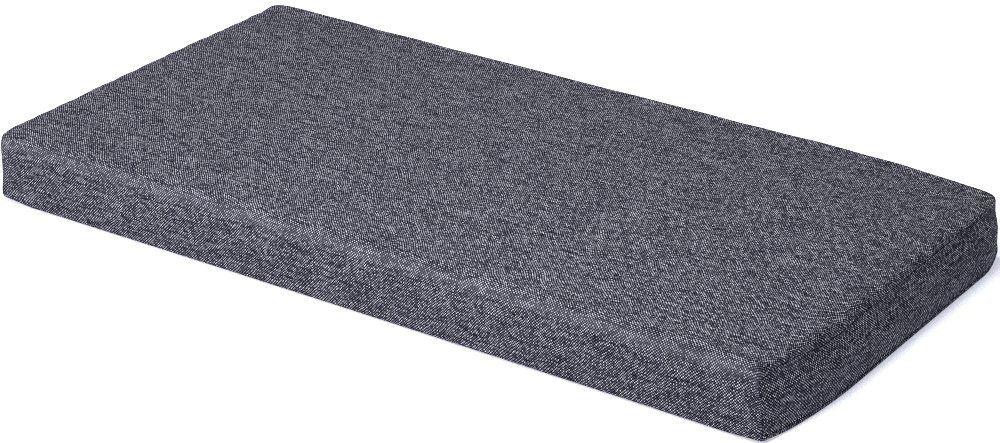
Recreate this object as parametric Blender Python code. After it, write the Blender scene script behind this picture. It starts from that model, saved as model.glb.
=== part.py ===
"""Bench cushion: a block of foam in a fitted tweed cover, with a panel sewn into each short end.

Metres, +Z up. X runs along the cushion and -Y is its long front side. The origin is on the floor,
under the middle of the cushion.
"""
import math

import bmesh
import bpy

# Overall size
LENGTH = 0.914
WIDTH = 0.457
THICKNESS = 0.076

# Section across the cushion
TOP_EDGE_RADIUS = 0.012      # fold along the top of each long side
BOTTOM_EDGE_RADIUS = 0.006   # tighter fold underneath
CROWN = 0.0020               # how far the middle of the top stands above its edges
CROWN_POWER_ACROSS = 2.4     # the crown is flat in the middle and falls off towards its edges
CROWN_POWER_ALONG = 4
BEAD_HEIGHT = 0.0016         # the fold stands up as a soft roll, with a shallow hollow behind it
BEAD_INSET = 0.010
BEAD_SPREAD = 0.012
SIDE_DRAW_IN = 0.0020        # the long sides pull in between the corners
SIDE_BULGE = 0.0012          # and are a little fuller halfway up

# Rolled edge of the sleeve at each short end: how far in the roll starts, and where the seam lies
ROLL_START_TOP = 0.042
ROLL_START_SIDE = 0.014
ROLL_START_BOTTOM = 0.008
SEAM_BELOW_TOP = 0.0130
SEAM_FROM_SIDE = 0.0050
SEAM_ABOVE_BOTTOM = 0.0050
SEAM_CORNER_RADIUS = 0.0075
SEAM_CORNER_TAPER = 0.25     # the rings inside the seam have slightly sharper corners

# The roll slopes away slackly along the right end: its slope in degrees, by the distance from the seam.
# It is fuller where the cloth is bunched at the corners, and along the left end.
SLACK_SLOPES = ((0.000, 50.0), (0.0055, 45.0), (0.008, 33.0), (0.014, 15.0), (0.022, 6.0), (0.042, 0.0))
FULL_ROLL = ((0.0, 0.0), (0.80, 0.0), (1.0, 0.30), (1.0, 1.0))
LEFT_FULLNESS = 0.60
BUNCHED = {"front": (0.022, 1.0), "back": (0.040, 0.5)}   # how far from a long side, and how full

# Height of the right-hand end seam along its top, from the front to the back. Its left twin is even.
SEAM_HEIGHTS = (
    (-0.2235, 0.0600), (-0.2090, 0.0635), (-0.1970, 0.0665), (-0.1750, 0.0664), (-0.1550, 0.0636),
    (-0.1350, 0.0618), (-0.1000, 0.0624), (-0.0700, 0.0640), (-0.0400, 0.0645), (0.0000, 0.0648),
    (0.0400, 0.0656), (0.0800, 0.0664), (0.1200, 0.0660), (0.1600, 0.0655), (0.1900, 0.0617),
    (0.2100, 0.0573), (0.2235, 0.0548),
)
SEAM_SET_BACK = 0.0050       # the right-hand panel leans in towards its top seam
SET_BACK_FROM = 0.040
SET_BACK_OVER = 0.024

# Puckers that the seam draws into the roll above it
PUCKER_DEPTH = {"left": 0.0006, "right": 0.0018}
PUCKER_SHARES = (0.8, 1.1, 0.7, 1.0, 0.6, 1.2, 0.9, 0.7, 1.0, 1.1, 0.6)
PUCKER_POWER = 4             # narrow dimples with wide ridges between them
PUCKER_LEAN = 1.5            # a pucker is deepest nearer to the seam

# End panels
PANEL_THICKNESS = 0.0022
PANEL_GAP = 0.0003
PANEL_CROWN = 0.0025
# Each ring of a panel: how far it lies inside the seam, and how far its face stands out past the roll
PANEL_RINGS = (
    {"inset": 0.0000, "stand_out": -0.0016},
    {"inset": 0.0022, "stand_out": -0.0002},
    {"inset": 0.0080, "stand_out": 0.0009},
    {"inset": 0.0160, "stand_out": 0.0019},
    {"inset": 0.0230, "stand_out": PANEL_CROWN},
)

# The corners aren't quite alike. At each one the end is drawn in by so much at the bottom, halfway up
# and at the top, over so much of the end's width and so suddenly. The top droops over the corner, and
# the corner's bottom stands a little off the floor.
CORNER_COLUMNS = ("end", "side", "bottom", "middle", "top", "reach", "power", "droop", "lift")
CORNER_ROWS = (
    ("left", "front", 0.0125, 0.0185, 0.0165, 0.036, 2.0, 0.000, 0.0035),
    ("left", "back", 0.0060, 0.0060, 0.0020, 0.026, 2.0, 0.000, 0.0055),
    ("right", "front", 0.0160, 0.0210, 0.0130, 0.140, 1.9, 0.001, 0.0018),
    ("right", "back", 0.0100, 0.0180, 0.0098, 0.052, 1.6, 0.008, 0.0055),
)
CORNERS = {row[:2]: dict(zip(CORNER_COLUMNS, row)) for row in CORNER_ROWS}
DRAW_IN_REACH_ALONG = 0.110  # length of sleeve, from the end, over which the cloth shifts to meet it
DRAW_IN_FULL_ALONG = 0.020   # and within which it shifts in full
DROOP_REACH = 0.180
DROOP_POWER = 1.2
CORNER_LIFT_REACH = 0.050

# Steps of the mesh
STEPS_PER_PUCKER = 4
TOP_STEPS = STEPS_PER_PUCKER * len(PUCKER_SHARES)
TOP_ARC_STEPS = 5
SIDE_STEPS = 4
BOTTOM_ARC_STEPS = 3
BOTTOM_BREAKS = (1.0, 0.93, 0.84, 0.70, 0.45)   # shares of the half width
ROLL_STEPS = 9
RINGS_CROWD = 1.25           # rings crowd towards the seam
MIDDLE_STATIONS = 9
SHOULDER_INSETS = (0.092, 0.072, 0.056)

HALF_LENGTH = LENGTH / 2
HALF_WIDTH = WIDTH / 2
ROLL_END = HALF_LENGTH - PANEL_CROWN
ENDS = {"left": -1, "right": 1}

SLEEVE_COLOUR = (0.120, 0.120, 0.148, 1.0)
PANEL_COLOUR = (0.112, 0.112, 0.140, 1.0)
CLOTH_ROUGHNESS = 0.92
SHARP_ANGLE = math.radians(40)


def clear_scene():
    for thing in list(bpy.data.objects):
        bpy.data.objects.remove(thing, do_unlink=True)


def smooth_step(value):
    value = min(1.0, max(0.0, value))
    return value * value * (3.0 - 2.0 * value)


def corner_at(x, y):
    end = "right" if x > 0 else "left"
    side = "back" if y > 0 else "front"
    return CORNERS[(end, side)]


def top_height(x, y):
    """Height of the top face: crowned, with a soft roll along each long side and drooping corners."""
    across = min(1.0, abs(y) / HALF_WIDTH)
    along = min(1.0, abs(x) / HALF_LENGTH)
    crown = (1.0 - across ** CROWN_POWER_ACROSS) * (1.0 - along ** CROWN_POWER_ALONG)
    height = THICKNESS - CROWN + CROWN * crown
    bead_offset = (HALF_WIDTH - BEAD_INSET - abs(y)) / BEAD_SPREAD
    height += BEAD_HEIGHT * math.exp(-bead_offset ** 2)
    corner = corner_at(x, y)
    away = math.hypot(HALF_LENGTH - abs(x), HALF_WIDTH - abs(y)) / DROOP_REACH
    height -= corner["droop"] * max(0.0, 1.0 - away) ** DROOP_POWER
    return height


def bottom_height(x, y):
    """Flat on the floor but for the four corners."""
    away = math.hypot(HALF_LENGTH - abs(x), HALF_WIDTH - abs(y)) / CORNER_LIFT_REACH
    return corner_at(x, y)["lift"] * smooth_step(1.0 - away)


def side_distance(x, z):
    """Distance of a long side from the middle plane."""
    along = min(1.0, abs(x) / HALF_LENGTH)
    draw_in = SIDE_DRAW_IN * (1.0 - along ** 2)
    bulge = SIDE_BULGE * math.sin(math.pi * min(1.0, max(0.0, z / THICKNESS)))
    return HALF_WIDTH - SIDE_BULGE - draw_in + bulge


def end_draw_in(x, y, z):
    """How far a point shifts towards the middle of the cushion because its corner is drawn in."""
    corner = corner_at(x, y)
    level = min(1.0, max(0.0, z / THICKNESS))
    low, middle, high = corner["bottom"], corner["middle"], corner["top"]
    depth = low + (4 * middle - 3 * low - high) * level + (2 * low + 2 * high - 4 * middle) * level ** 2
    nearness = max(0.0, 1.0 - (HALF_WIDTH - abs(y)) / corner["reach"])
    from_end = HALF_LENGTH - abs(x)
    along = smooth_step((DRAW_IN_REACH_ALONG - from_end) / (DRAW_IN_REACH_ALONG - DRAW_IN_FULL_ALONG))
    return depth * nearness ** corner["power"] * along


def draw_in_end(point):
    x, y, z = point
    shift = end_draw_in(x, y, z)
    return (x - math.copysign(shift, x), y, z)


def section_steps():
    """The steps round a section, starting at the back end of the top: where each one lies, and its share."""
    steps = []
    for step in range(TOP_STEPS + 1):
        steps.append(("top", 1.0 - 2.0 * step / TOP_STEPS))
    for step in range(1, TOP_ARC_STEPS + 1):
        steps.append(("front top arc", step / TOP_ARC_STEPS))
    for step in range(1, SIDE_STEPS):
        steps.append(("front side", step / SIDE_STEPS))
    for step in range(BOTTOM_ARC_STEPS):
        steps.append(("front bottom arc", step / BOTTOM_ARC_STEPS))
    for share in BOTTOM_BREAKS:
        steps.append(("bottom", -share))
    steps.append(("bottom", 0.0))
    for share in reversed(BOTTOM_BREAKS):
        steps.append(("bottom", share))
    for step in reversed(range(BOTTOM_ARC_STEPS)):
        steps.append(("back bottom arc", step / BOTTOM_ARC_STEPS))
    for step in reversed(range(1, SIDE_STEPS)):
        steps.append(("back side", step / SIDE_STEPS))
    for step in reversed(range(1, TOP_ARC_STEPS + 1)):
        steps.append(("back top arc", step / TOP_ARC_STEPS))
    return steps


STEPS = section_steps()


def box_outline(half_width_at, low_at, high_at, low_radius, high_radius):
    """Closed outline of (y, z) with rounded corners. Its faces are functions of the place along them."""
    points = []
    for stretch, share in STEPS:
        side = -1.0 if stretch.startswith("front") else 1.0
        if stretch == "top":
            y = share * (half_width_at(high_at(0.0)) - high_radius)
            points.append((y, high_at(y)))
        elif stretch == "bottom":
            y = share * (half_width_at(0.0) - low_radius)
            points.append((y, low_at(y)))
        elif stretch.endswith("top arc"):
            turn = share * math.pi / 2
            shoulder = half_width_at(high_at(0.0)) - high_radius
            y = side * (shoulder + high_radius * math.sin(turn))
            z = high_at(side * shoulder) - high_radius * (1.0 - math.cos(turn))
            points.append((y, z))
        elif stretch.endswith("bottom arc"):
            turn = share * math.pi / 2
            shoulder = half_width_at(0.0) - low_radius
            y = side * (shoulder + low_radius * math.cos(turn))
            z = low_at(side * shoulder) + low_radius * (1.0 - math.sin(turn))
            points.append((y, z))
        else:
            top = high_at(side * (half_width_at(0.0) - high_radius)) - high_radius
            bottom = low_at(side * half_width_at(0.0)) + low_radius
            z = top + (bottom - top) * share
            points.append((side * half_width_at(z), z))
    return points


def sleeve_outline(x):
    """Section of the sleeve at a distance x along the cushion."""
    return box_outline(
        lambda z: side_distance(x, z),
        lambda y: bottom_height(x, y),
        lambda y: top_height(x, y),
        BOTTOM_EDGE_RADIUS,
        TOP_EDGE_RADIUS,
    )


def table_value(rows, place):
    """A value between the rows of a table, by a smooth curve through them."""
    if place <= rows[0][0]:
        return rows[0][1]
    for number in range(1, len(rows)):
        before, low = rows[number - 1]
        after, high = rows[number]
        if place <= after:
            start = rows[max(0, number - 2)]
            stop = rows[min(len(rows) - 1, number + 1)]
            slope_low = (high - start[1]) / (after - start[0])
            slope_high = (stop[1] - low) / (stop[0] - before)
            width = after - before
            share = (place - before) / width
            rest = 1.0 - share
            bent = slope_low * share * rest ** 2 - slope_high * share ** 2 * rest
            return low + (high - low) * smooth_step(share) + width * bent
    return rows[-1][1]


def set_back(end, z):
    """How far the end seam and its panel lie behind the end of the roll, at a height."""
    if end == "left":
        return 0.0
    return SEAM_SET_BACK * smooth_step((z - SET_BACK_FROM) / SET_BACK_OVER)


def seam_height(x, y):
    """Height of the end seam along the top. It runs level past the soft roll of each long side."""
    if x > 0:
        return table_value(SEAM_HEIGHTS, y)
    level_y = math.copysign(min(abs(y), HALF_WIDTH - BEAD_INSET - 2 * BEAD_SPREAD), y)
    return top_height(x, level_y) - SEAM_BELOW_TOP


def seam_outline(x, inset):
    """Outline of the end seam, or of a line that lies an inset inside it."""
    radius = SEAM_CORNER_RADIUS - inset * SEAM_CORNER_TAPER
    return box_outline(
        lambda z: HALF_WIDTH - SEAM_FROM_SIDE - inset,
        lambda y: bottom_height(x, y) + SEAM_ABOVE_BOTTOM + inset,
        lambda y: seam_height(x, y) - inset,
        radius,
        radius,
    )


def roll_start(stretch, share):
    """How far in from the end the roll starts, for a point of the section."""
    if stretch == "top":
        return ROLL_START_TOP
    if stretch == "bottom":
        return ROLL_START_BOTTOM
    blend = smooth_step(share)
    if stretch.endswith("top arc"):
        return ROLL_START_TOP + (ROLL_START_SIDE - ROLL_START_TOP) * blend
    if stretch.endswith("bottom arc"):
        return ROLL_START_SIDE + (ROLL_START_BOTTOM - ROLL_START_SIDE) * blend
    return ROLL_START_SIDE


def pucker_depth(end, share, roll):
    """Depth of the puckers, at a share across the top, 1 to -1 from back to front, and a share of the roll."""
    place = (1.0 - share) / 2.0 * len(PUCKER_SHARES)
    number = min(len(PUCKER_SHARES) - 1, int(place))
    dimple = PUCKER_SHARES[number] * math.sin(math.pi * (place - number)) ** PUCKER_POWER
    down_the_roll = math.sin(math.pi * min(1.0, roll ** PUCKER_LEAN))
    return PUCKER_DEPTH[end] * dimple * down_the_roll


def bezier(controls, share):
    """A point of the cubic curve with four control points."""
    rest = 1.0 - share
    weights = (rest ** 3, 3 * rest ** 2 * share, 3 * rest * share ** 2, share ** 3)
    return [sum(weight * control[axis] for weight, control in zip(weights, controls)) for axis in (0, 1)]


def slack_profile():
    """For each ring of the slack roll, its share of the way out to the end and of the way down."""
    fine = 20 * ROLL_STEPS
    falls = [0.0]
    for piece in range(fine):
        to_seam = ROLL_START_TOP * (1.0 - (piece + 0.5) / fine)
        falls.append(falls[-1] + math.tan(math.radians(table_value(SLACK_SLOPES, to_seam))))
    profile = []
    for ring in range(ROLL_STEPS + 1):
        out = 1.0 - (1.0 - ring / ROLL_STEPS) ** RINGS_CROWD
        profile.append((out, falls[round(out * fine)] / falls[-1]))
    return profile


SLACK_PROFILE = slack_profile()


def roll_fullness(end, y):
    """1 where the roll is full, 0 where it is slack."""
    if end == "left":
        return LEFT_FULLNESS
    reach, fullness = BUNCHED["back" if y > 0 else "front"]
    return fullness * smooth_step(1.0 - (HALF_WIDTH - SEAM_FROM_SIDE - abs(y)) / reach)


def roll_ring(end, ring):
    """One ring of the rolled end, from 0, where it leaves the sleeve, to ROLL_STEPS at the seam."""
    direction = ENDS[end]
    roll = ring / ROLL_STEPS
    turn = roll * math.pi / 2
    slack = SLACK_PROFILE[ring]
    full = bezier(FULL_ROLL, roll)
    body = sleeve_outline(direction * (ROLL_END - ROLL_START_TOP))
    seam = seam_outline(direction * ROLL_END, 0.0)
    points = []
    for (stretch, share), (body_y, body_z), (seam_y, seam_z) in zip(STEPS, body, seam):
        fullness = roll_fullness(end, seam_y)
        out, fall = [low + (high - low) * fullness for low, high in zip(slack, full)]
        start_x = ROLL_END - roll_start(stretch, share)
        x = start_x + (ROLL_END - set_back(end, seam_z) - start_x) * out
        y = body_y + (seam_y - body_y) * fall
        z = body_z + (seam_z - body_z) * fall
        if stretch == "top":
            dimple = pucker_depth(end, share, roll)
            x -= dimple * math.sin(turn)
            z -= dimple * math.cos(turn)
        points.append(draw_in_end((direction * x, y, z)))
    return points


def seam_ring(end, inset, out):
    """A ring at an inset from the end seam, standing out past the end of the roll by so much."""
    direction = ENDS[end]
    outline = seam_outline(direction * ROLL_END, inset)
    return [draw_in_end((direction * (ROLL_END + out - set_back(end, z)), y, z)) for y, z in outline]


def panel_ring(end, ring, depth):
    """One ring of an end panel, a depth behind its face."""
    return seam_ring(end, PANEL_GAP + ring["inset"], ring["stand_out"] - depth)


def recess_wall_ring(end):
    """Foot of the short wall behind the seam, where the panel is let in."""
    return seam_ring(end, 0.0, PANEL_RINGS[0]["stand_out"] - PANEL_THICKNESS - PANEL_GAP)


def body_rings():
    """All rings of the sleeve, from the left seam to the right one."""
    reach = HALF_LENGTH - SHOULDER_INSETS[0]
    middle = [reach * (2.0 * step / (MIDDLE_STATIONS - 1) - 1.0) for step in range(MIDDLE_STATIONS)]
    shoulders = [HALF_LENGTH - inset for inset in SHOULDER_INSETS[1:]]
    stations = [-x for x in reversed(shoulders)] + middle + shoulders
    rings = [roll_ring("left", ring) for ring in reversed(range(ROLL_STEPS + 1))]
    for x in stations:
        rings.append([draw_in_end((x, y, z)) for y, z in sleeve_outline(x)])
    rings += [roll_ring("right", ring) for ring in range(ROLL_STEPS + 1)]
    return rings


def add_rings(mesh, rings):
    """Adds rings of vertices and joins each to the next."""
    made = [[mesh.verts.new(point) for point in ring] for ring in rings]
    for near, far in zip(made, made[1:]):
        for here in range(len(near)):
            after = (here + 1) % len(near)
            mesh.faces.new((near[here], near[after], far[after], far[here]))
    return made


def close_ring(mesh, ring):
    """Fills a flat, wide ring with triangles between its upper and its lower half."""
    quarter = TOP_STEPS + TOP_ARC_STEPS + SIDE_STEPS // 2
    opposite = len(ring) - (TOP_ARC_STEPS + SIDE_STEPS // 2)
    upper = ring[opposite:] + ring[:quarter + 1]
    lower = list(reversed(ring[quarter:opposite + 1]))
    high = 0
    low = 0
    while high < len(upper) - 1 or low < len(lower) - 1:
        step_high = high < len(upper) - 1
        if step_high and low < len(lower) - 1:
            step_high = upper[high + 1].co.y > lower[low + 1].co.y
        corners = [upper[high], lower[low]]
        if step_high:
            high += 1
            corners.append(upper[high])
        else:
            low += 1
            corners.append(lower[low])
        if len(set(corners)) == 3:
            mesh.faces.new(corners)


def cloth_material(name, colour):
    material = bpy.data.materials.new(name)
    material.use_nodes = True
    shader = material.node_tree.nodes["Principled BSDF"]
    shader.inputs["Base Color"].default_value = colour
    shader.inputs["Roughness"].default_value = CLOTH_ROUGHNESS
    shader.inputs["Metallic"].default_value = 0.0
    return material


def finish_object(name, mesh, material, parent):
    bmesh.ops.recalc_face_normals(mesh, faces=mesh.faces)
    data = bpy.data.meshes.new(name)
    mesh.to_mesh(data)
    mesh.free()
    data.shade_smooth()
    data.set_sharp_from_angle(angle=SHARP_ANGLE)
    data.materials.append(material)
    thing = bpy.data.objects.new(name, data)
    bpy.context.collection.objects.link(thing)
    thing.parent = parent
    return thing


def make_body(parent):
    """The sleeve with the foam in it. Each end is a shallow recess for its panel."""
    mesh = bmesh.new()
    rings = body_rings()
    floors = {}
    for end in ENDS:
        floor = [recess_wall_ring(end)]
        for ring in PANEL_RINGS:
            floor.append(panel_ring(end, ring, PANEL_THICKNESS + PANEL_GAP))
        floors[end] = floor
    made = add_rings(mesh, floors["left"][::-1] + rings + floors["right"])
    close_ring(mesh, made[0])
    close_ring(mesh, made[-1])
    return finish_object("cushion_body", mesh, cloth_material("tweed_sleeve", SLEEVE_COLOUR), parent)


def make_end_panel(end, material, parent):
    """A panel of cloth, sewn in at its edge and a little domed.

    Its rings run the same way as those of the recess behind it, so that the faces of both are parallel.
    """
    mesh = bmesh.new()
    back = [panel_ring(end, ring, PANEL_THICKNESS) for ring in reversed(PANEL_RINGS)]
    face = [panel_ring(end, ring, 0.0) for ring in PANEL_RINGS]
    made = add_rings(mesh, (back + face)[::-ENDS[end]])
    close_ring(mesh, made[0])
    close_ring(mesh, made[-1])
    return finish_object("end_panel_" + end, mesh, material, parent)


def main():
    clear_scene()
    cushion = bpy.data.objects.new("cushion", None)
    bpy.context.collection.objects.link(cushion)
    make_body(cushion)
    panel_cloth = cloth_material("tweed_end_panel", PANEL_COLOUR)
    for end in ENDS:
        make_end_panel(end, panel_cloth, cushion)


main()
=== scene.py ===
"""Bench cushion: a foam pad in a fitted tweed cover, on a pale floor in soft studio light.

Metres, +Z up. X runs along the cushion and -Y is its long front side. The cover is a sleeve round the
foam, with a panel sewn into each short end.
"""
import math

import bpy
from mathutils import Matrix, Vector, noise


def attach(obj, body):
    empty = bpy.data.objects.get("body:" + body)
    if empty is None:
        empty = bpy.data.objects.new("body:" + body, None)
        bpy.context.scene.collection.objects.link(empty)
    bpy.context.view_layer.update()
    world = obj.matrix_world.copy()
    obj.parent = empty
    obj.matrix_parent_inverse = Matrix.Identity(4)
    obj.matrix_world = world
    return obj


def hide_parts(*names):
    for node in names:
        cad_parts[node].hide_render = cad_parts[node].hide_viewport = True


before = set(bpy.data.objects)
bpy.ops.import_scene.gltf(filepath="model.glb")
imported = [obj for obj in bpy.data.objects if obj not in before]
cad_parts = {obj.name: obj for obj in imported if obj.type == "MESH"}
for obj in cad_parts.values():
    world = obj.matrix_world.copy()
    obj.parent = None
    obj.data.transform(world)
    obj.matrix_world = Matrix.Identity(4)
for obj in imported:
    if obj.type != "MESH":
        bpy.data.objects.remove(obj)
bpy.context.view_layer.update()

# The cut of the cushion, as its solids have it
LENGTH = 0.914
WIDTH = 0.457
THICKNESS = 0.076
TOP_EDGE_RADIUS = 0.012
BOTTOM_EDGE_RADIUS = 0.006
CROWN = 0.0036
CROWN_POWER_ACROSS = 2.4     # the crown is flat in the middle and falls off towards its edges
CROWN_POWER_ALONG = 4
BEAD_HEIGHT = 0.0042
BEAD_INSET = 0.0065
BEAD_SPREAD = 0.0105
SIDE_DRAW_IN = 0.0020
SIDE_BULGE = 0.0012
ROLL_START_TOP = 0.042
ROLL_START_SIDE = 0.014
ROLL_START_BOTTOM = 0.008
SEAM_BELOW_TOP = 0.0130
SEAM_FROM_SIDE = 0.0050
SEAM_ABOVE_BOTTOM = 0.0050
SEAM_CORNER_RADIUS = 0.0075
SEAM_CORNER_TAPER = 0.25
PANEL_CROWN = 0.0025
CORNER_COLUMNS = ("end", "side", "bottom", "middle", "top", "reach", "power", "droop", "lift")
CORNER_ROWS = (
    ("left", "front", 0.0125, 0.0190, 0.0160, 0.036, 2.0, 0.000, 0.0035),
    ("left", "back", 0.006, 0.006, 0.006, 0.026, 2.0, 0.000, 0.0055),
    ("right", "front", 0.0155, 0.021, 0.013, 0.140, 1.9, 0.001, 0.0018),
    ("right", "back", 0.008, 0.018, 0.0080, 0.052, 1.6, 0.008, 0.0055),
)
CORNERS = {row[:2]: dict(zip(CORNER_COLUMNS, row)) for row in CORNER_ROWS}
DRAW_IN_REACH_ALONG = 0.110
DRAW_IN_FULL_ALONG = 0.020
DROOP_REACH = 0.180
DROOP_POWER = 1.2
CORNER_LIFT_REACH = 0.050

HALF_LENGTH = LENGTH / 2
HALF_WIDTH = WIDTH / 2
ROLL_END = HALF_LENGTH - PANEL_CROWN
ENDS = {"left": -1, "right": 1}

# The roll slopes away slackly along each end: its slope in degrees, by the distance from the seam.
# It is fuller where the cloth is bunched at the corners, and along the left end.
SLACK_SLOPES = {
    "left": ((0.000, 60.0), (0.003, 56.0), (0.006, 43.0), (0.010, 24.0), (0.017, 9.0), (0.042, 0.0)),
    "right": (
        (0.000, 83.0), (0.0012, 81.0), (0.002, 70.0), (0.0035, 50.0), (0.006, 30.0), (0.011, 15.0),
        (0.018, 6.0), (0.042, 0.0),
    ),
}
FULL_ROLL = ((0.0, 0.0), (0.80, 0.0), (1.0, 0.30), (1.0, 1.0))
LEFT_FULLNESS = 0.45
BUNCHED = {"front": (0.022, 1.0), "back": (0.040, 0.5)}   # how far from a long side, and how full

# Height of the right-hand end seam along its top, from the front to the back. Its left twin is even.
SEAM_HEIGHTS = (
    (-0.2235, 0.0580), (-0.2090, 0.0614), (-0.1970, 0.0644), (-0.1750, 0.0643), (-0.1550, 0.0615),
    (-0.1350, 0.0597), (-0.1000, 0.0603), (-0.0700, 0.0619), (-0.0400, 0.0624), (0.0000, 0.0627),
    (0.0400, 0.0635), (0.0800, 0.0643), (0.1200, 0.0639), (0.1600, 0.0634), (0.1900, 0.0606),
    (0.2100, 0.0569), (0.2235, 0.0546),
)
SEAM_SET_BACK = 0.0075       # the right-hand panel leans in towards its top seam
SET_BACK_FROM = 0.036
SET_BACK_OVER = 0.026
BACK_SET_BACK = 0.6          # less so near its back corner
BACK_FROM = 0.160
BACK_OVER = 0.050
LOW_SET_BACK = 0.0014        # and a little towards its bottom seam
LOW_BELOW = 0.022

# Puckers that the seams draw into the roll: place across the top, depth and half width
PUCKERS = (
    (-0.141, 0.0012, 0.007), (-0.106, 0.0026, 0.011), (-0.082, 0.0010, 0.006), (-0.046, 0.0024, 0.009),
    (-0.012, 0.0012, 0.007), (0.034, 0.0019, 0.008), (0.060, 0.0018, 0.008), (0.107, 0.0013, 0.007),
    (0.130, 0.0012, 0.007), (0.167, 0.0020, 0.010), (0.199, 0.0022, 0.008),
)
PUCKER_SHARE = {"left": 0.3, "right": 1.0}
PUCKER_REACH = 0.0065        # how far above the seam a pucker is deepest
PUCKER_LEAN = math.radians(58)

# Both edges of cloth turn in at the end seams, and meet at the bottom of a narrow groove
TURN_RADIUS = 0.0011
TURN_STEPS = 4
TURN_DEPTH = 0.0040
SEAM_GAP = 0.0003

# Unevenness of the cloth, in metres from its smooth form
WAVE_ROWS = (                # height, length along the cloth and round it, and slice of the noise
    (0.0007, 0.120, 0.075, 1.0),     # long, low waves
    (0.00025, 0.055, 0.016, 2.0),    # slack along the length of the yarns
)
BEAD_WANDER = 0.0008         # the rolls along the long sides swell and thin
BEAD_WANDER_LENGTH = 0.045
BEAD_WANDER_APART = 3.0      # in the noise, the two long sides lie this far either way
BEAD_WANDER_SLICE = 4.0
BEAD_AROUND = WIDTH / 2 - 0.009
BEAD_WANDER_SPREAD = 0.010
WRINKLE_HEIGHT = 0.0007      # small folds that run into the end seams
WRINKLE_REACH = 0.016
FOLD_ROWS = (                # share, width and length of the folds, and slice of the noise
    (1.0, 0.0075, 0.030, 5.0),
    (0.6, 0.0035, 0.020, 7.0),
)
CALM_BY_SEAM = 0.004         # the cloth lies smooth this close to a seam, and this low down
CALM_BELOW = 0.014
PANEL_WAVE_ROW = (0.0008, 0.050, 0.045, 11.0)    # height, width, length and slice of the noise
PANEL_FOLD_ROW = (0.6, 0.007, 0.020, 13.0)       # share, width, length and slice
PANEL_FOLD_REACH = 0.010

# The foam presses the cloth outward, which a cloth simulation on a coarser sleeve works out
FOAM_PRESSURE = 4.0
FOAM_GRIP = 0.2              # how firmly the foam's own form holds the cloth, from 0 to 1
CLOTH_WEIGHT = 0.3
CLOTH_TENSION = 40.0
CLOTH_SHEAR = 5.0
CLOTH_BENDING = 0.5
CLOTH_QUALITY = 5            # steps of the simulation to a frame
PRESSED_FRAMES = 20
COARSE = 2                   # the coarser sleeve has every second ring and step
SEWN_RINGS = 7               # rings at each seam that the simulation leaves where they are
RESTING_BELOW = 0.012        # the cloth below this height is held between the foam and the floor
MOST_SWELLING = 0.002        # a cap, which the cloth doesn't reach

# How finely the cloth is meshed
TOP_STEPS = 132
TOP_ARC_STEPS = 8
SIDE_STEPS = 14
BOTTOM_ARC_STEPS = 5
BOTTOM_HALF_STEPS = 20
ROLL_STEPS = 20
RINGS_CROWD = 1.5           # rings crowd towards the seam
STRAIGHT_STATIONS = 201
PLAIN_SHARE = 0.86           # share of the straight length whose stations are square to it

# Each ring of an end panel inside its turned edge, and how far its face stands out past the roll
PANEL_RINGS = (
    (0.0022, -0.0002), (0.0035, 0.0001), (0.0055, 0.0005), (0.0080, 0.0009), (0.0105, 0.0013),
    (0.0130, 0.0016), (0.0155, 0.0019), (0.0180, 0.0021), (0.0205, 0.0023), (0.0225, 0.0024),
)


def smooth_step(value):
    value = min(1.0, max(0.0, value))
    return value * value * (3.0 - 2.0 * value)


def bump_at(place, middle, spread):
    """A smooth hump, 1 at its middle."""
    return math.exp(-((place - middle) / spread) ** 2)


def corner_at(x, y):
    end = "right" if x > 0 else "left"
    side = "back" if y > 0 else "front"
    return CORNERS[(end, side)]


def top_height(x, y):
    """Height of the top face: crowned, with a soft roll along each long side and drooping corners."""
    across = min(1.0, abs(y) / HALF_WIDTH)
    along = min(1.0, abs(x) / HALF_LENGTH)
    crowned = CROWN * (1.0 - across ** CROWN_POWER_ACROSS) * (1.0 - along ** CROWN_POWER_ALONG)
    height = THICKNESS - CROWN + crowned
    bead_offset = (HALF_WIDTH - BEAD_INSET - abs(y)) / BEAD_SPREAD
    height += BEAD_HEIGHT * math.exp(-bead_offset ** 2)
    corner = corner_at(x, y)
    away = math.hypot(HALF_LENGTH - abs(x), HALF_WIDTH - abs(y)) / DROOP_REACH
    height -= corner["droop"] * max(0.0, 1.0 - away) ** DROOP_POWER
    return height


def bottom_height(x, y):
    """Flat on the floor but for the four corners."""
    away = math.hypot(HALF_LENGTH - abs(x), HALF_WIDTH - abs(y)) / CORNER_LIFT_REACH
    return corner_at(x, y)["lift"] * smooth_step(1.0 - away)


def side_distance(x, z):
    """Distance of a long side from the middle plane."""
    along = min(1.0, abs(x) / HALF_LENGTH)
    draw_in = SIDE_DRAW_IN * (1.0 - along ** 2)
    bulge = SIDE_BULGE * math.sin(math.pi * min(1.0, max(0.0, z / THICKNESS)))
    return HALF_WIDTH - SIDE_BULGE - draw_in + bulge


def draw_in_end(point):
    """Shifts a point towards the middle of the cushion where its corner is drawn in."""
    x, y, z = point
    corner = corner_at(x, y)
    level = min(1.0, max(0.0, z / THICKNESS))
    low, middle, high = corner["bottom"], corner["middle"], corner["top"]
    depth = low + (4 * middle - 3 * low - high) * level + (2 * low + 2 * high - 4 * middle) * level ** 2
    nearness = max(0.0, 1.0 - (HALF_WIDTH - abs(y)) / corner["reach"])
    from_end = HALF_LENGTH - abs(x)
    along = smooth_step((DRAW_IN_REACH_ALONG - from_end) / (DRAW_IN_REACH_ALONG - DRAW_IN_FULL_ALONG))
    shift = depth * nearness ** corner["power"] * along
    return Vector((x - math.copysign(shift, x), y, z))


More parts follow.
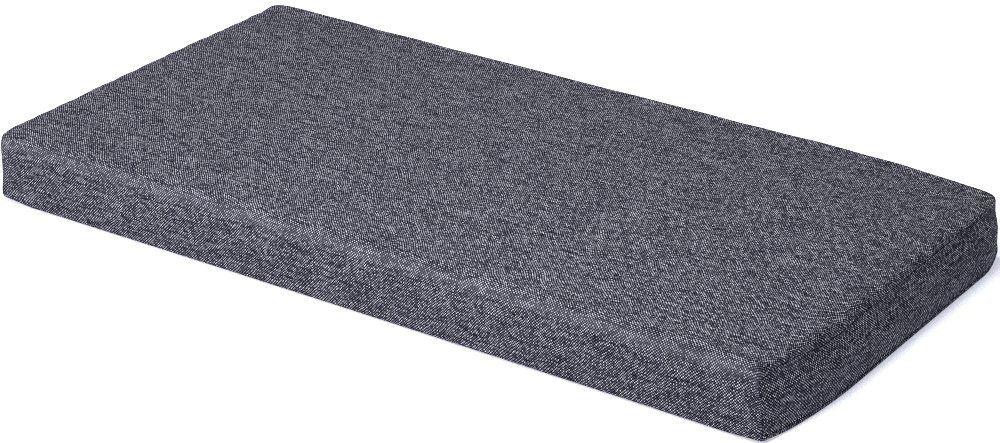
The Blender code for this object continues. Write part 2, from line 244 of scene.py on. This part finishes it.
def section_steps():
    """The steps round a section from the middle of the underside, by way of the back, the top and the
    front, to the middle of the underside again."""
    steps = [("bottom", step / BOTTOM_HALF_STEPS) for step in range(BOTTOM_HALF_STEPS)]
    steps += [("back bottom arc", 1.0 - step / BOTTOM_ARC_STEPS) for step in range(BOTTOM_ARC_STEPS)]
    steps += [("back side", 1.0 - step / SIDE_STEPS) for step in range(SIDE_STEPS)]
    steps += [("back top arc", 1.0 - step / TOP_ARC_STEPS) for step in range(TOP_ARC_STEPS)]
    steps += [("top", 1.0 - 2.0 * step / TOP_STEPS) for step in range(TOP_STEPS)]
    steps += [("front top arc", step / TOP_ARC_STEPS) for step in range(TOP_ARC_STEPS)]
    steps += [("front side", step / SIDE_STEPS) for step in range(SIDE_STEPS)]
    steps += [("front bottom arc", step / BOTTOM_ARC_STEPS) for step in range(BOTTOM_ARC_STEPS)]
    steps += [("bottom", step / BOTTOM_HALF_STEPS - 1.0) for step in range(BOTTOM_HALF_STEPS)]
    return steps


STEPS = section_steps()


def outline_point(step, half_width_at, low_at, high_at, low_radius, high_radius):
    """One point (y, z) of a closed outline with rounded corners."""
    stretch, share = step
    side = -1.0 if stretch.startswith("front") else 1.0
    if stretch == "top":
        y = share * (half_width_at(high_at(0.0)) - high_radius)
        return y, high_at(y)
    if stretch == "bottom":
        y = share * (half_width_at(0.0) - low_radius)
        return y, low_at(y)
    if stretch.endswith("top arc"):
        turn = share * math.pi / 2
        shoulder = half_width_at(high_at(0.0)) - high_radius
        y = side * (shoulder + high_radius * math.sin(turn))
        return y, high_at(side * shoulder) - high_radius * (1.0 - math.cos(turn))
    if stretch.endswith("bottom arc"):
        turn = share * math.pi / 2
        shoulder = half_width_at(0.0) - low_radius
        y = side * (shoulder + low_radius * math.cos(turn))
        return y, low_at(side * shoulder) + low_radius * (1.0 - math.sin(turn))
    top = high_at(side * (half_width_at(0.0) - high_radius)) - high_radius
    bottom = low_at(side * half_width_at(0.0)) + low_radius
    z = top + (bottom - top) * share
    return side * half_width_at(z), z


def sleeve_point(step, x):
    """Where a step of the section lies on the sleeve, at a distance x along the cushion."""
    return outline_point(
        step,
        lambda z: side_distance(x, z),
        lambda y: bottom_height(x, y),
        lambda y: top_height(x, y),
        BOTTOM_EDGE_RADIUS,
        TOP_EDGE_RADIUS,
    )


def table_value(rows, place):
    """A value between the rows of a table, by a smooth curve through them."""
    if place <= rows[0][0]:
        return rows[0][1]
    for number in range(1, len(rows)):
        before, low = rows[number - 1]
        after, high = rows[number]
        if place <= after:
            start = rows[max(0, number - 2)]
            stop = rows[min(len(rows) - 1, number + 1)]
            slope_low = (high - start[1]) / (after - start[0])
            slope_high = (stop[1] - low) / (stop[0] - before)
            width = after - before
            share = (place - before) / width
            rest = 1.0 - share
            bent = slope_low * share * rest ** 2 - slope_high * share ** 2 * rest
            return low + (high - low) * smooth_step(share) + width * bent
    return rows[-1][1]


def set_back(end, y, z):
    """How far the end seam and its panel lie behind the end of the roll."""
    if end == "left":
        return 0.0
    less = (1.0 - BACK_SET_BACK) * smooth_step((y - BACK_FROM) / BACK_OVER)
    high = SEAM_SET_BACK * (1.0 - less) * smooth_step((z - SET_BACK_FROM) / SET_BACK_OVER)
    return high + LOW_SET_BACK * smooth_step(1.0 - z / LOW_BELOW)


def seam_height(x, y):
    """Height of the end seam along the top. It runs level past the soft roll of each long side."""
    if x > 0:
        return table_value(SEAM_HEIGHTS, y)
    level_y = math.copysign(min(abs(y), HALF_WIDTH - BEAD_INSET - 2 * BEAD_SPREAD), y)
    return top_height(x, level_y) - SEAM_BELOW_TOP


def seam_point(step, x, inset):
    """Where a step of the section lies on the end seam, or on a line that is an inset inside it."""
    radius = SEAM_CORNER_RADIUS - inset * SEAM_CORNER_TAPER
    return outline_point(
        step,
        lambda z: HALF_WIDTH - SEAM_FROM_SIDE - inset,
        lambda y: bottom_height(x, y) + SEAM_ABOVE_BOTTOM + inset,
        lambda y: seam_height(x, y) - inset,
        radius,
        radius,
    )


def roll_start(step):
    """How far in from the end the roll starts, for a step of the section."""
    stretch, share = step
    if stretch == "top":
        return ROLL_START_TOP
    if stretch == "bottom":
        return ROLL_START_BOTTOM
    if stretch.endswith("top arc"):
        return ROLL_START_TOP + (ROLL_START_SIDE - ROLL_START_TOP) * smooth_step(share)
    if stretch.endswith("bottom arc"):
        return ROLL_START_SIDE + (ROLL_START_BOTTOM - ROLL_START_SIDE) * smooth_step(share)
    return ROLL_START_SIDE


def pucker_depth(end, y, to_seam):
    """Depth of the puckers at a place across the top and a distance from the seam."""
    across = sum(depth * bump_at(y, place, half_width) for place, depth, half_width in PUCKERS)
    above = to_seam / PUCKER_REACH
    return PUCKER_SHARE[end] * across * above * math.exp(1.0 - above)


def bezier(controls, share):
    """A point of the cubic curve with four control points."""
    rest = 1.0 - share
    weights = (rest ** 3, 3 * rest ** 2 * share, 3 * rest * share ** 2, share ** 3)
    return [sum(weight * control[axis] for weight, control in zip(weights, controls)) for axis in (0, 1)]


def slack_profile(slopes):
    """For each ring of a slack roll, its share of the way out to the end and down to the seam."""
    fine = 20 * ROLL_STEPS
    falls = [0.0]
    for piece in range(fine):
        to_seam = ROLL_START_TOP * (1.0 - (piece + 0.5) / fine)
        falls.append(falls[-1] + math.tan(math.radians(table_value(slopes, to_seam))))
    profile = []
    for ring in range(ROLL_STEPS + 1):
        out = 1.0 - (1.0 - ring / ROLL_STEPS) ** RINGS_CROWD
        profile.append((out, falls[round(out * fine)] / falls[-1]))
    return profile


SLACK_PROFILES = {end: slack_profile(slopes) for end, slopes in SLACK_SLOPES.items()}


def roll_fullness(end, y):
    """1 where the roll is full, 0 where it is slack."""
    if end == "left":
        return LEFT_FULLNESS
    reach, fullness = BUNCHED["back" if y > 0 else "front"]
    return fullness * smooth_step(1.0 - (HALF_WIDTH - SEAM_FROM_SIDE - abs(y)) / reach)


def roll_ring(end, ring):
    """One ring of the rolled end, from 0, where it leaves the sleeve, to ROLL_STEPS at the seam."""
    direction = ENDS[end]
    slack = SLACK_PROFILES[end][ring]
    full = bezier(FULL_ROLL, ring / ROLL_STEPS)
    points = []
    for step in STEPS:
        start_x = ROLL_END - roll_start(step)
        body_y, body_z = sleeve_point(step, direction * start_x)
        seam_y, seam_z = seam_point(step, direction * ROLL_END, -TURN_RADIUS)
        end_x = ROLL_END - set_back(end, seam_y, seam_z)
        fullness = roll_fullness(end, seam_y)
        out, fall = [a + (b - a) * fullness for a, b in zip(slack, full)]
        x = start_x + (end_x - start_x) * out
        y = body_y + (seam_y - body_y) * fall
        z = body_z + (seam_z - body_z) * fall
        if step[0] == "top":
            dimple = pucker_depth(end, y, (1.0 - out) * ROLL_START_TOP)
            x -= dimple * math.cos(PUCKER_LEAN)
            z -= dimple * math.sin(PUCKER_LEAN)
        points.append(draw_in_end((direction * x, y, z)))
    return points


def turned_edge(outward):
    """Insets from the seam and depths behind the roll's face, down a turned edge into the seam."""
    turns = [math.pi / 2 * step / TURN_STEPS for step in range(TURN_STEPS + 1)]
    path = [(-TURN_RADIUS * (1.0 - math.sin(turn)), TURN_RADIUS * (1.0 - math.cos(turn))) for turn in turns]
    path.append((0.0, TURN_DEPTH))
    if outward:
        return path[1:]
    return [(SEAM_GAP - inset, depth) for inset, depth in reversed(path)]


def turned_length():
    """Length of cloth turned into the seam."""
    return TURN_RADIUS * math.pi / 2 + TURN_DEPTH - TURN_RADIUS


def seam_ring(end, inset, out):
    """A ring at an inset from the end seam, standing out past the end of the roll by so much."""
    direction = ENDS[end]
    ring = []
    for step in STEPS:
        y, z = seam_point(step, direction * ROLL_END, inset)
        ring.append(draw_in_end((direction * (ROLL_END + out - set_back(end, y, z)), y, z)))
    return ring


def straight_ring(share):
    """A ring of the straight length. share runs from -1 to 1; near its ends each step heads for its roll."""
    points = []
    for step in STEPS:
        square = ROLL_END - ROLL_START_TOP
        extra = ROLL_START_TOP - roll_start(step)
        beyond = max(0.0, (abs(share) - PLAIN_SHARE) / (1.0 - PLAIN_SHARE))
        x = math.copysign(abs(share) * square + extra * beyond, share)
        points.append(draw_in_end((x, *sleeve_point(step, x))))
    return points


def sleeve_rings():
    """All rings of the sleeve, from the left seam to the right one."""
    rings = {}
    for end in ENDS:
        rolled = [roll_ring(end, ring) for ring in range(1, ROLL_STEPS + 1)]
        turned = [seam_ring(end, inset, -depth) for inset, depth in turned_edge(True)]
        rings[end] = rolled + turned
    last = STRAIGHT_STATIONS - 1
    straight = [straight_ring(2.0 * station / last - 1.0) for station in range(STRAIGHT_STATIONS)]
    return rings["left"][::-1] + straight + rings["right"]


def running_lengths(points):
    """Distance of each point from the first, along the line through them."""
    lengths = [0.0]
    for before, after in zip(points, points[1:]):
        lengths.append(lengths[-1] + (after - before).length)
    return lengths


def cloth_lengths(rings):
    """For each ring and step, how far along the cloth it lies from the cushion's middle, and round it.

    Yarns that run along the cushion keep their distance round it, and yarns that run round it keep their
    distance along each line of steps.
    """
    middle = len(rings) // 2
    girth = running_lengths(rings[middle] + rings[middle][:1])
    top_middle = len(rings[0]) // 2
    around = [length - girth[top_middle] for length in girth]
    along = []
    for step in range(len(rings[0])):
        lengths = running_lengths([ring[step] for ring in rings])
        along.append([length - lengths[middle] for length in lengths])
    return along, around


def quads(rows, count):
    """Faces between closed rows of so many points each."""
    faces = []
    for row in range(rows - 1):
        for step in range(count):
            after = (step + 1) % count
            faces.append((
                row * count + step,
                row * count + after,
                (row + 1) * count + after,
                (row + 1) * count + step,
            ))
    return faces


def coarse_numbers(count):
    """The numbers of the rings that the simulated sleeve has: every so many, and always the last."""
    numbers = list(range(0, count, COARSE))
    if numbers[-1] != count - 1:
        numbers.append(count - 1)
    return numbers


def simulated_swelling(rings, coarse_rings, coarse_steps):
    """How far the foam presses each point of the coarser sleeve outward."""
    points = [rings[ring][step] for ring in coarse_rings for step in coarse_steps]
    count = len(coarse_steps)
    data = bpy.data.meshes.new("coarse_sleeve")
    data.from_pydata(points, [], quads(len(coarse_rings), count))
    form = bpy.data.objects.new("coarse_sleeve", data)
    bpy.context.collection.objects.link(form)
    held = form.vertex_groups.new(name="held")
    last_free = len(rings) - SEWN_RINGS
    for row, ring in enumerate(coarse_rings):
        for step in range(count):
            number = row * count + step
            sewn = ring < SEWN_RINGS or ring >= last_free
            resting = points[number].z < RESTING_BELOW
            held.add([number], 1.0 if sewn or resting else FOAM_GRIP, "REPLACE")
    cloth = form.modifiers.new("cloth", "CLOTH")
    cloth.settings.quality = CLOTH_QUALITY
    cloth.settings.mass = CLOTH_WEIGHT
    cloth.settings.tension_stiffness = CLOTH_TENSION
    cloth.settings.compression_stiffness = CLOTH_TENSION
    cloth.settings.shear_stiffness = CLOTH_SHEAR
    cloth.settings.bending_stiffness = CLOTH_BENDING
    cloth.settings.vertex_group_mass = held.name
    cloth.settings.use_pressure = True
    cloth.settings.uniform_pressure_force = FOAM_PRESSURE
    cloth.settings.effector_weights.gravity = 0.0
    cloth.collision_settings.use_collision = False
    cloth.point_cache.frame_start = 1
    cloth.point_cache.frame_end = PRESSED_FRAMES
    scene = bpy.context.scene
    before = scene.frame_current
    for frame_number in range(1, PRESSED_FRAMES + 1):
        scene.frame_set(frame_number)
    pressed = form.evaluated_get(bpy.context.evaluated_depsgraph_get())
    moves = [vertex.co - point for vertex, point in zip(pressed.data.vertices, points)]
    scene.frame_set(before)
    bpy.data.objects.remove(form, do_unlink=True)
    bpy.data.meshes.remove(data)
    for move in moves:
        if move.length > MOST_SWELLING:
            move.length = MOST_SWELLING
    return [moves[row * count:(row + 1) * count] for row in range(len(coarse_rings))]


def swell(rings):
    """The rings, moved outward by the simulated pressure of the foam."""
    coarse_rings = coarse_numbers(len(rings))
    coarse_steps = list(range(0, len(STEPS), COARSE))
    moves = simulated_swelling(rings, coarse_rings, coarse_steps)
    swollen = []
    for ring, row in enumerate(rings):
        low = min(ring // COARSE, len(coarse_rings) - 2)
        share = (ring - coarse_rings[low]) / (coarse_rings[low + 1] - coarse_rings[low])
        between = [near.lerp(far, share) for near, far in zip(moves[low], moves[low + 1])]
        moved = []
        for step, point in enumerate(row):
            first = step // COARSE
            after = (first + 1) % len(between)
            moved.append(point + between[first].lerp(between[after], step % COARSE / COARSE))
        swollen.append(moved)
    return swollen


def sleeve_relief(point, along, around, to_seam):
    """How far the cloth stands out from its smooth form, in metres."""
    side = -1.0 if point.y < 0 else 1.0
    waves = 0.0
    for height, length, girth, part in WAVE_ROWS:
        waves += height * noise.noise((along / length, around / girth, part))
    bead = bump_at(abs(around), BEAD_AROUND, BEAD_WANDER_SPREAD)
    wander = (along / BEAD_WANDER_LENGTH, BEAD_WANDER_APART * side, BEAD_WANDER_SLICE)
    waves += BEAD_WANDER * bead * noise.noise(wander)
    near_seam = math.exp(-to_seam / WRINKLE_REACH)
    (share, width, length, part), (small_share, small_width, small_length, small_part) = FOLD_ROWS
    folds = share * noise.noise((around / width, to_seam / length, part + point.x))
    folds += small_share * noise.noise((around / small_width, to_seam / small_length, small_part))
    waves += WRINKLE_HEIGHT * near_seam * folds
    keep = smooth_step((to_seam - TURN_RADIUS) / CALM_BY_SEAM) * smooth_step(point.z / CALM_BELOW)
    return waves * keep


def stand_out(data, heights):
    """Moves each point of a mesh along its normal."""
    normals = [vertex.normal.copy() for vertex in data.vertices]
    for vertex, normal, height in zip(data.vertices, normals, heights):
        vertex.co += normal * height


def make_piece(name, points, faces, face_cloth, material):
    """A smooth mesh whose faces know where they lie on the flat cloth, in metres."""
    data = bpy.data.meshes.new(name)
    data.from_pydata(points, [], faces)
    cloth = data.uv_layers.new(name="cloth")
    flat = [number for corners in face_cloth for place in corners for number in place]
    cloth.data.foreach_set("uv", flat)
    data.shade_smooth()
    data.materials.append(material)
    piece = bpy.data.objects.new(name, data)
    bpy.context.collection.objects.link(piece)
    return piece


def make_sleeve(material):
    rings = sleeve_rings()
    along, around = cloth_lengths(rings)
    rings = swell(rings)
    count = len(STEPS)
    points = [point for ring in rings for point in ring]
    faces = quads(len(rings), count)
    face_cloth = []
    for ring in range(len(rings) - 1):
        for step in range(count):
            after = (step + 1) % count
            face_cloth.append((
                (along[step][ring], around[step]),
                (along[after][ring], around[step + 1]),
                (along[after][ring + 1], around[step + 1]),
                (along[step][ring + 1], around[step]),
            ))
    sleeve = make_piece("cushion_sleeve", points, faces, face_cloth, material)
    heights = []
    turned_in = turned_length()
    for ring, row in enumerate(rings):
        end = 0 if ring < len(rings) // 2 else -1
        for step, point in enumerate(row):
            to_seam = abs(along[step][end]) - abs(along[step][ring]) - turned_in
            heights.append(sleeve_relief(point, along[step][ring], around[step], to_seam))
    stand_out(sleeve.data, heights)
    return sleeve


def bridge(upper, lower, points):
    """Triangles between two rows of point numbers that both run the same way in Y."""
    faces = []
    high = 0
    low = 0
    while high < len(upper) - 1 or low < len(lower) - 1:
        step_high = high < len(upper) - 1
        if step_high and low < len(lower) - 1:
            step_high = points[upper[high + 1]].y > points[lower[low + 1]].y
        face = [upper[high], lower[low]]
        if step_high:
            high += 1
            face.append(upper[high])
        else:
            low += 1
            face.append(lower[low])
        if len(set(face)) == 3:
            faces.append(tuple(face))
    return faces


def panel_relief(y, z, inset):
    """How far the cloth of an end panel stands out from its smooth dome, in metres."""
    height, width, length, part = PANEL_WAVE_ROW
    waves = height * noise.noise((y / width, z / length, part))
    share, width, length, part = PANEL_FOLD_ROW
    near_seam = math.exp(-inset / PANEL_FOLD_REACH)
    waves += WRINKLE_HEIGHT * share * near_seam * noise.noise((y / width, z / length, part))
    return waves * smooth_step((inset - TURN_RADIUS) / CALM_BY_SEAM)


def make_end_panel(end, material):
    """A panel of cloth with its edge turned in, a little domed."""
    direction = ENDS[end]
    path = [(inset, -depth) for inset, depth in turned_edge(False)] + list(PANEL_RINGS)
    rings = [seam_ring(end, inset, stand_out) for inset, stand_out in path]
    flat_inset = [path[-1][0]]
    for (near, near_out), (far, far_out) in zip(path[::-1], path[-2::-1]):
        flat_inset.insert(0, flat_inset[0] - math.hypot(far - near, far_out - near_out))
    flat = []
    for inset in flat_inset:
        flat += [seam_point(step, direction * ROLL_END, inset) for step in STEPS]
    points = [point for ring in rings for point in ring]
    count = len(STEPS)
    faces = [(near, far, far_after, near_after)
             for near, near_after, far_after, far in quads(len(rings), count)]
    first = (len(rings) - 1) * count
    back_middle = BOTTOM_HALF_STEPS + BOTTOM_ARC_STEPS + SIDE_STEPS // 2
    front_middle = count - back_middle
    upper = [first + step for step in range(back_middle, front_middle + 1)]
    lower = [first + step for step in range(back_middle, -1, -1)]
    lower += [first + step for step in range(count - 1, front_middle - 1, -1)]
    faces += bridge(upper, lower, points)
    if direction > 0:
        faces = [face[::-1] for face in faces]
    face_cloth = [[flat[corner] for corner in face] for face in faces]
    panel = make_piece("end_panel_cloth_" + end, points, faces, face_cloth, material)
    heights = []
    for inset, _ in path:
        for y, z in [seam_point(step, direction * ROLL_END, inset) for step in STEPS]:
            heights.append(panel_relief(y + direction, z, inset))
    stand_out(panel.data, heights)
    return panel


def linear(hex_colour):
    """An sRGB hex colour as linear RGBA."""
    channels = [int(hex_colour[place:place + 2], 16) / 255 for place in (1, 3, 5)]
    bent = [c / 12.92 if c <= 0.04045 else ((c + 0.055) / 1.055) ** 2.4 for c in channels]
    return (*bent, 1.0)


def add_node(tree, kind, settings=None, **inputs):
    """Adds a node. Each input is a value, or the output that it is linked to; in_0 names one by number."""
    node = tree.nodes.new(kind)
    for name, value in (settings or {}).items():
        setattr(node, name, value)
    for name, value in inputs.items():
        socket = node.inputs[int(name[3:])] if name.startswith("in_") else node.inputs[name.replace("_", " ")]
        if isinstance(value, bpy.types.NodeSocket):
            tree.links.new(value, socket)
        else:
            socket.default_value = value
    return node


YARN_PITCH_ALONG = 0.00142   # a coarse upholstery tweed, about 7 yarns to the centimetre
YARN_PITCH_AROUND = 0.00146
WANDER_SCALE = 0.05          # of the noise, in waves to a crossing
WANDER = 3.0                 # in crossings
SLUB_LENGTH = 30.0           # crossings along a yarn before it thickens or thins
SLUB_SPREAD = 0.9            # slubs of neighbouring yarns are nearly unrelated
SLUB_CONTRAST = 2.1
FLECK_SHARE = 0.60           # the rest of a crossing's shade is its slub's
# A painted highlight along the rolled long edges: where its band lies, how wide and how strong it is, and its
# pale grey
HIGHLIGHT_BAND_AROUND = 0.2290       # distance round the cloth from the middle of the top, in metres
HIGHLIGHT_BAND_SPREAD = 0.0062
HIGHLIGHT_BAND_STRENGTH = 0.14
PAINTED_HIGHLIGHT_GREY = "#7d7d88"
HOLLOW_SHADE = 0.05          # painted shade: brightness of the colour in the deepest hollow between yarns
BUMP_STRENGTH = 0.6
YARN_RELIEF = 0.0004
YARN_ROUGHNESS = 0.9         # matt fibres, with hardly any gloss
YARN_IOR = 1.5
YARN_GLOSS = 0.03


def tweed(name, light, dark):
    """Plain-woven tweed of light and near-black heathered yarns. To the eye it is a matt, flecked grey."""
    material = bpy.data.materials.new(name)
    material.use_nodes = True
    tree = material.node_tree
    shader = tree.nodes["Principled BSDF"]

    def math_node(operation, *values):
        inputs = {f"in_{place}": value for place, value in enumerate(values)}
        return add_node(tree, "ShaderNodeMath", {"operation": operation}, **inputs).outputs[0]

    cloth = add_node(tree, "ShaderNodeUVMap", {"uv_map": "cloth"}).outputs["UV"]
    place = add_node(tree, "ShaderNodeSeparateXYZ", Vector=cloth)
    even_along = math_node("DIVIDE", place.outputs[0], YARN_PITCH_ALONG)
    even_around = math_node("DIVIDE", place.outputs[1], YARN_PITCH_AROUND)

    # The yarns are uneven, so they lie a little off their places
    even = add_node(tree, "ShaderNodeCombineXYZ", X=even_along, Y=even_around).outputs[0]
    wander = add_node(
        tree, "ShaderNodeTexNoise", {"noise_dimensions": "2D"}, Vector=even, Scale=WANDER_SCALE, Detail=2.0,
    ).outputs["Color"]
    off = add_node(tree, "ShaderNodeSeparateXYZ", Vector=wander)
    along = math_node("MULTIPLY_ADD", off.outputs[0], WANDER, even_along)
    around = math_node("MULTIPLY_ADD", off.outputs[1], WANDER, even_around)
    column = math_node("FLOOR", along)
    row = math_node("FLOOR", around)
    in_column = math_node("SUBTRACT", along, column)
    in_row = math_node("SUBTRACT", around, row)
    dark_up = math_node("FLOORED_MODULO", math_node("ADD", column, row), 2.0)

    # Across and along whichever yarn is on top
    across_yarn = add_node(
        tree, "ShaderNodeMix", Factor=dark_up, in_2=in_row, in_3=in_column,
    ).outputs[0]
    along_yarn = add_node(
        tree, "ShaderNodeMix", Factor=dark_up, in_2=in_column, in_3=in_row,
    ).outputs[0]
    round_across = math_node("SINE", math_node("MULTIPLY", across_yarn, math.pi))
    arch_along = math_node("SINE", math_node("MULTIPLY", along_yarn, math.pi))
    height = math_node("MULTIPLY", round_across, arch_along)

    def slubs(length_count, across_count):
        """Thick and thin stretches of each yarn, from 0 to 1."""
        stretched = add_node(
            tree, "ShaderNodeCombineXYZ",
            X=math_node("DIVIDE", length_count, SLUB_LENGTH),
            Y=math_node("MULTIPLY", across_count, SLUB_SPREAD),
        ).outputs[0]
        lumps = add_node(
            tree, "ShaderNodeTexNoise", {"noise_dimensions": "2D"}, Vector=stretched, Scale=1.0, Detail=2.0,
        ).outputs[0]
        return math_node("MULTIPLY_ADD", math_node("SUBTRACT", lumps, 0.5), SLUB_CONTRAST, 0.5)

    # Heathered yarns: each crossing differs, and each yarn thickens and thins along its length
    crossing = add_node(tree, "ShaderNodeCombineXYZ", X=column, Y=row).outputs[0]
    fleck = add_node(tree, "ShaderNodeTexWhiteNoise", {"noise_dimensions": "3D"}, Vector=crossing).outputs[0]
    fleck_part = math_node("MULTIPLY", fleck, FLECK_SHARE)
    light_share = math_node("MULTIPLY_ADD", slubs(along, row), 1.0 - FLECK_SHARE, fleck_part)
    dark_share = math_node("MULTIPLY_ADD", slubs(around, column), 1.0 - FLECK_SHARE, fleck_part)
    colours = []
    for share, stops in ((light_share, light), (dark_share, dark)):
        ramp = add_node(tree, "ShaderNodeValToRGB", Fac=share)
        for _ in stops[2:]:
            ramp.color_ramp.elements.new(0.5)
        for element, (position, colour) in zip(ramp.color_ramp.elements, stops):
            element.position = position
            element.color = linear(colour)
        colours.append(ramp.outputs[0])
    yarn = add_node(
        tree, "ShaderNodeMix", {"data_type": "RGBA"}, Factor=dark_up, in_6=colours[0], in_7=colours[1],
    ).outputs[2]
    # Painted shade: the colour darkens into the hollows between the yarns
    painted_hollow_shade = math_node("MULTIPLY_ADD", height, 1.0 - HOLLOW_SHADE, HOLLOW_SHADE)
    shaded = add_node(
        tree, "ShaderNodeVectorMath", {"operation": "SCALE"}, in_0=yarn, Scale=painted_hollow_shade,
    ).outputs[0]

    # Painted highlight along the rolled long edges: a band of pale grey is mixed over the weave
    from_edge = math_node("SUBTRACT", math_node("ABSOLUTE", place.outputs[1]), HIGHLIGHT_BAND_AROUND)
    apart = math_node("DIVIDE", from_edge, HIGHLIGHT_BAND_SPREAD)
    highlight_band = math_node("EXPONENT", math_node("MULTIPLY", math_node("MULTIPLY", apart, apart), -1.0))
    highlighted = add_node(
        tree, "ShaderNodeMix", {"data_type": "RGBA"}, Factor=math_node("MULTIPLY", highlight_band, HIGHLIGHT_BAND_STRENGTH),
        in_6=shaded, in_7=linear(PAINTED_HIGHLIGHT_GREY),
    ).outputs[2]
    tree.links.new(highlighted, shader.inputs["Base Color"])
    bump = add_node(tree, "ShaderNodeBump", Strength=BUMP_STRENGTH, Distance=YARN_RELIEF, Height=height)
    tree.links.new(bump.outputs[0], shader.inputs["Normal"])
    shader.inputs["Roughness"].default_value = YARN_ROUGHNESS
    shader.inputs["IOR"].default_value = YARN_IOR
    shader.inputs["Specular IOR Level"].default_value = YARN_GLOSS
    return material


LIGHT_YARN = ((0.0, "#2c2c36"), (0.35, "#777784"), (0.62, "#bbbbc8"), (1.0, "#f8f8ff"))
DARK_YARN = ((0.0, "#02020a"), (0.60, "#0d0d21"), (1.0, "#2c2c4e"))

FLOOR_GLOW = 0.53


def pale_floor():
    """A large matt white sheet, a little lit from below."""
    material = bpy.data.materials.new("matt_white_floor")
    material.use_nodes = True
    shader = material.node_tree.nodes["Principled BSDF"]
    shader.inputs["Base Color"].default_value = linear("#ededf0")
    shader.inputs["Roughness"].default_value = 0.95
    shader.inputs["Specular IOR Level"].default_value = 0.1
    shader.inputs["Emission Color"].default_value = linear("#eceffc")
    shader.inputs["Emission Strength"].default_value = FLOOR_GLOW
    data = bpy.data.meshes.new("floor")
    reach = 15.0
    level = -0.0004
    corners = [(-reach, -reach, level), (reach, -reach, level), (reach, reach, level), (-reach, reach, level)]
    data.from_pydata(corners, [], [(0, 1, 2, 3)])
    data.materials.append(material)
    floor = bpy.data.objects.new("floor", data)
    bpy.context.collection.objects.link(floor)


# Large lamps with white cloth over them. Degrees round from the front towards the left, and up from the
# floor, distance and width in metres, and power in watts.
LAMP_COLUMNS = ("name", "round", "up", "distance", "width", "power")
LAMP_ROWS = (
    ("front_left", 20, 30, 1.3, 0.6, 8.0),
    ("front_right", -30, 60, 1.3, 0.6, 16.5),
    ("back_left", 125, 50, 2.5, 0.9, 36.0),
)
SKY_STRENGTH = 0.26


def soft_studio_light():
    for row in LAMP_ROWS:
        lamp = dict(zip(LAMP_COLUMNS, row))
        light = bpy.data.lights.new(lamp["name"], "AREA")
        light.size = lamp["width"]
        light.energy = lamp["power"]
        stand = bpy.data.objects.new(lamp["name"], light)
        turn = math.radians(lamp["round"])
        rise = math.radians(lamp["up"])
        towards = Vector((-math.sin(turn) * math.cos(rise), -math.cos(turn) * math.cos(rise), math.sin(rise)))
        stand.location = towards * lamp["distance"]
        stand.rotation_mode = "QUATERNION"
        stand.rotation_quaternion = towards.to_track_quat("Z", "Y")
        stand.visible_camera = False
        bpy.context.collection.objects.link(stand)
    world = bpy.data.worlds.new("studio")
    bpy.context.scene.world = world
    world.use_nodes = True
    world.node_tree.nodes["Background"].inputs["Color"].default_value = linear("#e4eaff")
    world.node_tree.nodes["Background"].inputs["Strength"].default_value = SKY_STRENGTH


CAMERA_ROUND = math.radians(34.465)      # from the front towards the right
CAMERA_UP = math.radians(25.176)
CAMERA_DISTANCE = 2.7092
CAMERA_AIM = (0.0108, -0.0289)           # metres right and up, in the view, of the cushion's middle
CAMERA_LENS = 99.1                       # millimetres, on a frame 36 mm wide


def place_camera():
    """Looks down on the right-hand end of the front side from 2.7 m away."""
    back = Vector((
        math.sin(CAMERA_ROUND) * math.cos(CAMERA_UP),
        -math.cos(CAMERA_ROUND) * math.cos(CAMERA_UP),
        math.sin(CAMERA_UP),
    ))
    right = Vector((math.cos(CAMERA_ROUND), math.sin(CAMERA_ROUND), 0.0))
    up = back.cross(right)
    aim = Vector((0.0, 0.0, THICKNESS / 2)) + right * CAMERA_AIM[0] + up * CAMERA_AIM[1]
    data = bpy.data.cameras.new("camera")
    data.sensor_width = 36.0
    data.sensor_fit = "HORIZONTAL"
    data.lens = CAMERA_LENS
    camera = bpy.data.objects.new("camera", data)
    placed = Matrix((right, up, back)).transposed().to_4x4()
    placed.translation = aim + back * CAMERA_DISTANCE
    camera.matrix_world = placed
    bpy.context.collection.objects.link(camera)
    bpy.context.scene.camera = camera


PIXEL_FILTER = 1.1           # pixels; wider smears the weave, and narrower lets rings and arcs into it


def main():
    bpy.context.scene.view_settings.view_transform = "Standard"
    bpy.context.scene.cycles.filter_width = PIXEL_FILTER
    bpy.context.scene.cycles.use_denoising = False
    place_camera()
    pale_floor()
    soft_studio_light()
    sleeve_tweed = tweed("sleeve_tweed", LIGHT_YARN, DARK_YARN)
    sleeve = make_sleeve(sleeve_tweed)
    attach(sleeve, "root")
    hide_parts("cushion_body")
    for end in ENDS:
        panel = make_end_panel(end, sleeve_tweed)
        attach(panel, "root")
        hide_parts("end_panel_" + end)


main()
